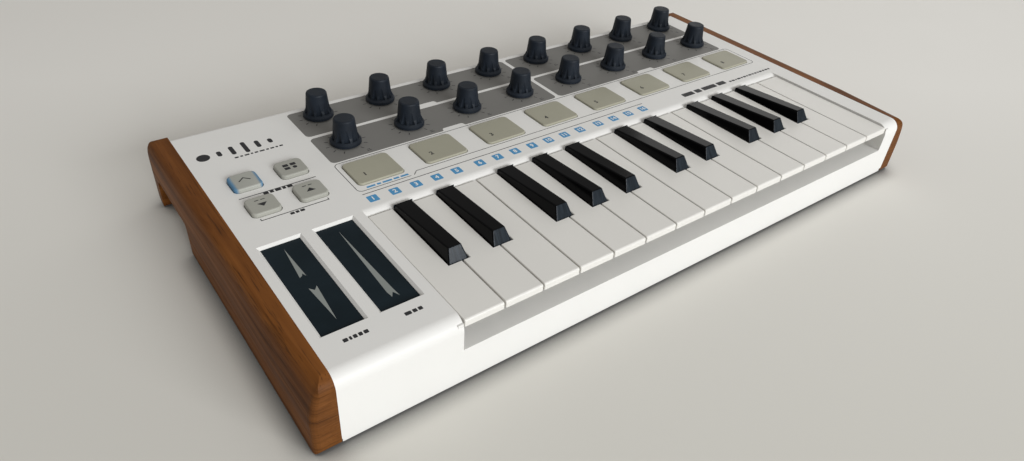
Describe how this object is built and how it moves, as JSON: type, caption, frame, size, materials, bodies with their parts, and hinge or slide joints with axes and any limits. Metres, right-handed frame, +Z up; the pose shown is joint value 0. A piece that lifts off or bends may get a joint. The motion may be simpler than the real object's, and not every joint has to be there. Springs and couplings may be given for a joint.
{
  "type": "midi keyboard controller",
  "caption": "Compact keyboard controller with sprung mini keys, endless encoder knobs, drum pads, push buttons, touch strips and wooden end cheeks, for playing and controlling music software.",
  "frame": {"origin": "middle of the footprint, on the plane of the rubber feet", "axes": "+X to the player's right, +Y to the rear panel, +Z up"},
  "size_m": [0.392, 0.1966, 0.0519],
  "materials": {
    "white_plastic": "fine matt",
    "walnut": "oiled",
    "board_parts": "solder mask",
    "strip_black": "satin",
    "steel": "zinc plated",
    "foot_rubber": "matt",
    "knob_rubber": "soft touch",
    "pad_rubber": "satin",
    "button_grey": "satin",
    "key_white": "satin",
    "key_black": "gloss"
  },
  "bodies": {
    "housing": {"top_case": "white_plastic", "bottom_case": "white_plastic", "wood_cheeks": "walnut", "circuit_boards": "board_parts", "touch_strips": "strip_black", "steel_hardware": "steel", "rubber_feet": "foot_rubber"},
    "turn_encoder_knob_01": {"encoder_knob_01": "knob_rubber"},
    "turn_encoder_knob_02": {"encoder_knob_02": "knob_rubber"},
    "turn_encoder_knob_03": {"encoder_knob_03": "knob_rubber"},
    "turn_encoder_knob_04": {"encoder_knob_04": "knob_rubber"},
    "turn_encoder_knob_05": {"encoder_knob_05": "knob_rubber"},
    "turn_encoder_knob_06": {"encoder_knob_06": "knob_rubber"},
    "turn_encoder_knob_07": {"encoder_knob_07": "knob_rubber"},
    "turn_encoder_knob_08": {"encoder_knob_08": "knob_rubber"},
    "turn_encoder_knob_09": {"encoder_knob_09": "knob_rubber"},
    "turn_encoder_knob_10": {"encoder_knob_10": "knob_rubber"},
    "turn_encoder_knob_11": {"encoder_knob_11": "knob_rubber"},
    "turn_encoder_knob_12": {"encoder_knob_12": "knob_rubber"},
    "turn_encoder_knob_13": {"encoder_knob_13": "knob_rubber"},
    "turn_encoder_knob_14": {"encoder_knob_14": "knob_rubber"},
    "turn_encoder_knob_15": {"encoder_knob_15": "knob_rubber"},
    "turn_encoder_knob_16": {"encoder_knob_16": "knob_rubber"},
    "press_pad_1": {"pad_1": "pad_rubber"},
    "press_pad_2": {"pad_2": "pad_rubber"},
    "press_pad_3": {"pad_3": "pad_rubber"},
    "press_pad_4": {"pad_4": "pad_rubber"},
    "press_pad_5": {"pad_5": "pad_rubber"},
    "press_pad_6": {"pad_6": "pad_rubber"},
    "press_pad_7": {"pad_7": "pad_rubber"},
    "press_pad_8": {"pad_8": "pad_rubber"},
    "press_button_shift": {"button_shift": "button_grey"},
    "press_button_pad_bank": {"button_pad_bank": "button_grey"},
    "press_button_octave_down": {"button_octave_down": "button_grey"},
    "press_button_octave_up": {"button_octave_up": "button_grey"},
    "move_key_01_c": {"key_01_c": "key_white"},
    "move_key_02_cs": {"key_02_cs": "key_black"},
    "move_key_03_d": {"key_03_d": "key_white"},
    "move_key_04_ds": {"key_04_ds": "key_black"},
    "move_key_05_e": {"key_05_e": "key_white"},
    "move_key_06_f": {"key_06_f": "key_white"},
    "move_key_07_fs": {"key_07_fs": "key_black"},
    "move_key_08_g": {"key_08_g": "key_white"},
    "move_key_09_gs": {"key_09_gs": "key_black"},
    "move_key_10_a": {"key_10_a": "key_white"},
    "move_key_11_as": {"key_11_as": "key_black"},
    "move_key_12_b": {"key_12_b": "key_white"},
    "move_key_13_c": {"key_13_c": "key_white"},
    "move_key_14_cs": {"key_14_cs": "key_black"},
    "move_key_15_d": {"key_15_d": "key_white"},
    "move_key_16_ds": {"key_16_ds": "key_black"},
    "move_key_17_e": {"key_17_e": "key_white"},
    "move_key_18_f": {"key_18_f": "key_white"},
    "move_key_19_fs": {"key_19_fs": "key_black"},
    "move_key_20_g": {"key_20_g": "key_white"},
    "move_key_21_gs": {"key_21_gs": "key_black"},
    "move_key_22_a": {"key_22_a": "key_white"},
    "move_key_23_as": {"key_23_as": "key_black"},
    "move_key_24_b": {"key_24_b": "key_white"},
    "move_key_25_c": {"key_25_c": "key_white"}
  },
  "joints": [
    {"name": "encoder_knob_01_turn", "type": "hinge", "parent": "housing", "child": "turn_encoder_knob_01", "pos_m": [-0.1093, 0.0801, 0.0376], "axis": [0, 0, -1], "continuous": true},
    {"name": "encoder_knob_02_turn", "type": "hinge", "parent": "housing", "child": "turn_encoder_knob_02", "pos_m": [-0.0711, 0.0801, 0.0376], "axis": [0, 0, -1], "continuous": true},
    {"name": "encoder_knob_03_turn", "type": "hinge", "parent": "housing", "child": "turn_encoder_knob_03", "pos_m": [-0.0329, 0.0801, 0.0376], "axis": [0, 0, -1], "continuous": true},
    {"name": "encoder_knob_04_turn", "type": "hinge", "parent": "housing", "child": "turn_encoder_knob_04", "pos_m": [0.0053, 0.0801, 0.0376], "axis": [0, 0, -1], "continuous": true},
    {"name": "encoder_knob_05_turn", "type": "hinge", "parent": "housing", "child": "turn_encoder_knob_05", "pos_m": [0.0435, 0.0801, 0.0376], "axis": [0, 0, -1], "continuous": true},
    {"name": "encoder_knob_06_turn", "type": "hinge", "parent": "housing", "child": "turn_encoder_knob_06", "pos_m": [0.0817, 0.0801, 0.0376], "axis": [0, 0, -1], "continuous": true},
    {"name": "encoder_knob_07_turn", "type": "hinge", "parent": "housing", "child": "turn_encoder_knob_07", "pos_m": [0.1199, 0.0801, 0.0376], "axis": [0, 0, -1], "continuous": true},
    {"name": "encoder_knob_08_turn", "type": "hinge", "parent": "housing", "child": "turn_encoder_knob_08", "pos_m": [0.1581, 0.0801, 0.0376], "axis": [0, 0, -1], "continuous": true},
    {"name": "encoder_knob_09_turn", "type": "hinge", "parent": "housing", "child": "turn_encoder_knob_09", "pos_m": [-0.1093, 0.0467, 0.0376], "axis": [0, 0, -1], "continuous": true},
    {"name": "encoder_knob_10_turn", "type": "hinge", "parent": "housing", "child": "turn_encoder_knob_10", "pos_m": [-0.0711, 0.0467, 0.0376], "axis": [0, 0, -1], "continuous": true},
    {"name": "encoder_knob_11_turn", "type": "hinge", "parent": "housing", "child": "turn_encoder_knob_11", "pos_m": [-0.0329, 0.0467, 0.0376], "axis": [0, 0, -1], "continuous": true},
    {"name": "encoder_knob_12_turn", "type": "hinge", "parent": "housing", "child": "turn_encoder_knob_12", "pos_m": [0.0053, 0.0467, 0.0376], "axis": [0, 0, -1], "continuous": true},
    {"name": "encoder_knob_13_turn", "type": "hinge", "parent": "housing", "child": "turn_encoder_knob_13", "pos_m": [0.0435, 0.0467, 0.0376], "axis": [0, 0, -1], "continuous": true},
    {"name": "encoder_knob_14_turn", "type": "hinge", "parent": "housing", "child": "turn_encoder_knob_14", "pos_m": [0.0817, 0.0467, 0.0376], "axis": [0, 0, -1], "continuous": true},
    {"name": "encoder_knob_15_turn", "type": "hinge", "parent": "housing", "child": "turn_encoder_knob_15", "pos_m": [0.1199, 0.0467, 0.0376], "axis": [0, 0, -1], "continuous": true},
    {"name": "encoder_knob_16_turn", "type": "hinge", "parent": "housing", "child": "turn_encoder_knob_16", "pos_m": [0.1581, 0.0467, 0.0376], "axis": [0, 0, -1], "continuous": true},
    {"name": "pad_1_press", "type": "slide", "parent": "housing", "child": "press_pad_1", "axis": [0, 0, -1], "range_m": [0, 0.0007], "stiffness_N_per_m": 2000, "springref_m": -0.0004},
    {"name": "pad_2_press", "type": "slide", "parent": "housing", "child": "press_pad_2", "axis": [0, 0, -1], "range_m": [0, 0.0007], "stiffness_N_per_m": 2000, "springref_m": -0.0004},
    {"name": "pad_3_press", "type": "slide", "parent": "housing", "child": "press_pad_3", "axis": [0, 0, -1], "range_m": [0, 0.0007], "stiffness_N_per_m": 2000, "springref_m": -0.0004},
    {"name": "pad_4_press", "type": "slide", "parent": "housing", "child": "press_pad_4", "axis": [0, 0, -1], "range_m": [0, 0.0007], "stiffness_N_per_m": 2000, "springref_m": -0.0004},
    {"name": "pad_5_press", "type": "slide", "parent": "housing", "child": "press_pad_5", "axis": [0, 0, -1], "range_m": [0, 0.0007], "stiffness_N_per_m": 2000, "springref_m": -0.0004},
    {"name": "pad_6_press", "type": "slide", "parent": "housing", "child": "press_pad_6", "axis": [0, 0, -1], "range_m": [0, 0.0007], "stiffness_N_per_m": 2000, "springref_m": -0.0004},
    {"name": "pad_7_press", "type": "slide", "parent": "housing", "child": "press_pad_7", "axis": [0, 0, -1], "range_m": [0, 0.0007], "stiffness_N_per_m": 2000, "springref_m": -0.0004},
    {"name": "pad_8_press", "type": "slide", "parent": "housing", "child": "press_pad_8", "axis": [0, 0, -1], "range_m": [0, 0.0007], "stiffness_N_per_m": 2000, "springref_m": -0.0004},
    {"name": "button_shift_press", "type": "slide", "parent": "housing", "child": "press_button_shift", "axis": [0, 0, -1], "range_m": [0, 0.0009], "stiffness_N_per_m": 800, "springref_m": -0.0006},
    {"name": "button_pad_bank_press", "type": "slide", "parent": "housing", "child": "press_button_pad_bank", "axis": [0, 0, -1], "range_m": [0, 0.0009], "stiffness_N_per_m": 800, "springref_m": -0.0006},
    {"name": "button_octave_down_press", "type": "slide", "parent": "housing", "child": "press_button_octave_down", "axis": [0, 0, -1], "range_m": [0, 0.0009], "stiffness_N_per_m": 800, "springref_m": -0.0006},
    {"name": "button_octave_up_press", "type": "slide", "parent": "housing", "child": "press_button_octave_up", "axis": [0, 0, -1], "range_m": [0, 0.0009], "stiffness_N_per_m": 800, "springref_m": -0.0006},
    {"name": "key_01_c_press", "type": "hinge", "parent": "housing", "child": "move_key_01_c", "pos_m": [-0.11985, 0.002, 0.024], "axis": [1, 0, 0], "range_deg": [0, 3], "stiffness_Nm_per_rad": 0.2, "springref_deg": -11.46},
    {"name": "key_02_cs_press", "type": "hinge", "parent": "housing", "child": "move_key_02_cs", "pos_m": [-0.1114, 0.002, 0.024], "axis": [1, 0, 0], "range_deg": [0, 3], "stiffness_Nm_per_rad": 0.2, "springref_deg": -11.46},
    {"name": "key_03_d_press", "type": "hinge", "parent": "housing", "child": "move_key_03_d", "pos_m": [-0.09975, 0.002, 0.024], "axis": [1, 0, 0], "range_deg": [0, 3], "stiffness_Nm_per_rad": 0.2, "springref_deg": -11.46},
    {"name": "key_04_ds_press", "type": "hinge", "parent": "housing", "child": "move_key_04_ds", "pos_m": [-0.0881, 0.002, 0.024], "axis": [1, 0, 0], "range_deg": [0, 3], "stiffness_Nm_per_rad": 0.2, "springref_deg": -11.46},
    {"name": "key_05_e_press", "type": "hinge", "parent": "housing", "child": "move_key_05_e", "pos_m": [-0.07965, 0.002, 0.024], "axis": [1, 0, 0], "range_deg": [0, 3], "stiffness_Nm_per_rad": 0.2, "springref_deg": -11.46},
    {"name": "key_06_f_press", "type": "hinge", "parent": "housing", "child": "move_key_06_f", "pos_m": [-0.05955, 0.002, 0.024], "axis": [1, 0, 0], "range_deg": [0, 3], "stiffness_Nm_per_rad": 0.2, "springref_deg": -11.46},
    {"name": "key_07_fs_press", "type": "hinge", "parent": "housing", "child": "move_key_07_fs", "pos_m": [-0.0519, 0.002, 0.024], "axis": [1, 0, 0], "range_deg": [0, 3], "stiffness_Nm_per_rad": 0.2, "springref_deg": -11.46},
    {"name": "key_08_g_press", "type": "hinge", "parent": "housing", "child": "move_key_08_g", "pos_m": [-0.03945, 0.002, 0.024], "axis": [1, 0, 0], "range_deg": [0, 3], "stiffness_Nm_per_rad": 0.2, "springref_deg": -11.46},
    {"name": "key_09_gs_press", "type": "hinge", "parent": "housing", "child": "move_key_09_gs", "pos_m": [-0.0294, 0.002, 0.024], "axis": [1, 0, 0], "range_deg": [0, 3], "stiffness_Nm_per_rad": 0.2, "springref_deg": -11.46},
    {"name": "key_10_a_press", "type": "hinge", "parent": "housing", "child": "move_key_10_a", "pos_m": [-0.01935, 0.002, 0.024], "axis": [1, 0, 0], "range_deg": [0, 3], "stiffness_Nm_per_rad": 0.2, "springref_deg": -11.46},
    {"name": "key_11_as_press", "type": "hinge", "parent": "housing", "child": "move_key_11_as", "pos_m": [-0.0069, 0.002, 0.024], "axis": [1, 0, 0], "range_deg": [0, 3], "stiffness_Nm_per_rad": 0.2, "springref_deg": -11.46},
    {"name": "key_12_b_press", "type": "hinge", "parent": "housing", "child": "move_key_12_b", "pos_m": [0.00075, 0.002, 0.024], "axis": [1, 0, 0], "range_deg": [0, 3], "stiffness_Nm_per_rad": 0.2, "springref_deg": -11.46},
    {"name": "key_13_c_press", "type": "hinge", "parent": "housing", "child": "move_key_13_c", "pos_m": [0.02085, 0.002, 0.024], "axis": [1, 0, 0], "range_deg": [0, 3], "stiffness_Nm_per_rad": 0.2, "springref_deg": -11.46},
    {"name": "key_14_cs_press", "type": "hinge", "parent": "housing", "child": "move_key_14_cs", "pos_m": [0.0293, 0.002, 0.024], "axis": [1, 0, 0], "range_deg": [0, 3], "stiffness_Nm_per_rad": 0.2, "springref_deg": -11.46},
    {"name": "key_15_d_press", "type": "hinge", "parent": "housing", "child": "move_key_15_d", "pos_m": [0.04095, 0.002, 0.024], "axis": [1, 0, 0], "range_deg": [0, 3], "stiffness_Nm_per_rad": 0.2, "springref_deg": -11.46},
    {"name": "key_16_ds_press", "type": "hinge", "parent": "housing", "child": "move_key_16_ds", "pos_m": [0.0526, 0.002, 0.024], "axis": [1, 0, 0], "range_deg": [0, 3], "stiffness_Nm_per_rad": 0.2, "springref_deg": -11.46},
    {"name": "key_17_e_press", "type": "hinge", "parent": "housing", "child": "move_key_17_e", "pos_m": [0.06105, 0.002, 0.024], "axis": [1, 0, 0], "range_deg": [0, 3], "stiffness_Nm_per_rad": 0.2, "springref_deg": -11.46},
    {"name": "key_18_f_press", "type": "hinge", "parent": "housing", "child": "move_key_18_f", "pos_m": [0.08115, 0.002, 0.024], "axis": [1, 0, 0], "range_deg": [0, 3], "stiffness_Nm_per_rad": 0.2, "springref_deg": -11.46},
    {"name": "key_19_fs_press", "type": "hinge", "parent": "housing", "child": "move_key_19_fs", "pos_m": [0.0888, 0.002, 0.024], "axis": [1, 0, 0], "range_deg": [0, 3], "stiffness_Nm_per_rad": 0.2, "springref_deg": -11.46},
    {"name": "key_20_g_press", "type": "hinge", "parent": "housing", "child": "move_key_20_g", "pos_m": [0.10125, 0.002, 0.024], "axis": [1, 0, 0], "range_deg": [0, 3], "stiffness_Nm_per_rad": 0.2, "springref_deg": -11.46},
    {"name": "key_21_gs_press", "type": "hinge", "parent": "housing", "child": "move_key_21_gs", "pos_m": [0.1113, 0.002, 0.024], "axis": [1, 0, 0], "range_deg": [0, 3], "stiffness_Nm_per_rad": 0.2, "springref_deg": -11.46},
    {"name": "key_22_a_press", "type": "hinge", "parent": "housing", "child": "move_key_22_a", "pos_m": [0.12135, 0.002, 0.024], "axis": [1, 0, 0], "range_deg": [0, 3], "stiffness_Nm_per_rad": 0.2, "springref_deg": -11.46},
    {"name": "key_23_as_press", "type": "hinge", "parent": "housing", "child": "move_key_23_as", "pos_m": [0.1338, 0.002, 0.024], "axis": [1, 0, 0], "range_deg": [0, 3], "stiffness_Nm_per_rad": 0.2, "springref_deg": -11.46},
    {"name": "key_24_b_press", "type": "hinge", "parent": "housing", "child": "move_key_24_b", "pos_m": [0.14145, 0.002, 0.024], "axis": [1, 0, 0], "range_deg": [0, 3], "stiffness_Nm_per_rad": 0.2, "springref_deg": -11.46},
    {"name": "key_25_c_press", "type": "hinge", "parent": "housing", "child": "move_key_25_c", "pos_m": [0.16155, 0.002, 0.024], "axis": [1, 0, 0], "range_deg": [0, 3], "stiffness_Nm_per_rad": 0.2, "springref_deg": -11.46}
  ]
}
